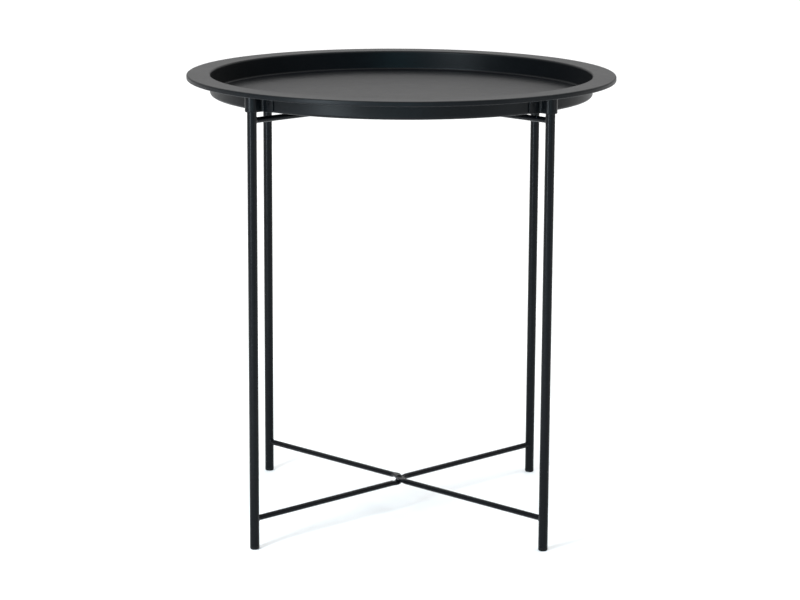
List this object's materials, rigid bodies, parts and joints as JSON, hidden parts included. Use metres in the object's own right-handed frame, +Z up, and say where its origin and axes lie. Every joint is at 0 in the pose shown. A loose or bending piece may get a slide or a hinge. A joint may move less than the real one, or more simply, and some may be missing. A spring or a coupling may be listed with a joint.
{
  "type": "folding side table",
  "caption": "Round black metal tray table: a shallow rimmed tray with leg sockets lifts off a stand of two crossed, riveted tube frames that folds flat.",
  "frame": {"origin": "on the floor under the middle of the table", "axes": "+Z up, -Y towards the front of the table, +X to its right as seen from the front"},
  "size_m": [0.47, 0.47, 0.496],
  "materials": {
    "tray_paint": "satin black powder coat",
    "socket_paint": "satin black powder coat",
    "stand_paint": "satin black powder coat",
    "rivet_paint": "satin black powder coat",
    "foot_plastic": "fine matte moulded",
    "washer_plastic": "smooth matte"
  },
  "bodies": {
    "under_frame": {"leg_front_left": "stand_paint", "leg_back_right": "stand_paint", "foot_front_left": "foot_plastic", "foot_back_right": "foot_plastic", "upper_rod_under": "stand_paint", "lower_rod_under": "stand_paint", "upper_washer": "washer_plastic", "lower_washer": "washer_plastic", "upper_rivet": "rivet_paint", "lower_rivet": "rivet_paint"},
    "over_frame": {"leg_front_right": "stand_paint", "leg_back_left": "stand_paint", "foot_front_right": "foot_plastic", "foot_back_left": "foot_plastic", "upper_rod_over": "stand_paint", "lower_rod_over": "stand_paint"},
    "tray_top": {"tray": "tray_paint", "socket_front_left": "socket_paint", "socket_front_right": "socket_paint", "socket_back_left": "socket_paint", "socket_back_right": "socket_paint"}
  },
  "joints": [
    {"name": "tray_lift", "type": "slide", "parent": "under_frame", "child": "tray_top", "axis": [0, 0, 1], "range_m": [0, 0.2]},
    {"name": "fold", "type": "hinge", "parent": "under_frame", "child": "over_frame", "pos_m": [0, 0, 0.0345], "axis": [0, 0, 1], "range_deg": [0, 87.2]}
  ],
  "couplings": [
    {"joint": "fold", "follows": "tray_lift", "rad_per_m": 7.6096}
  ]
}
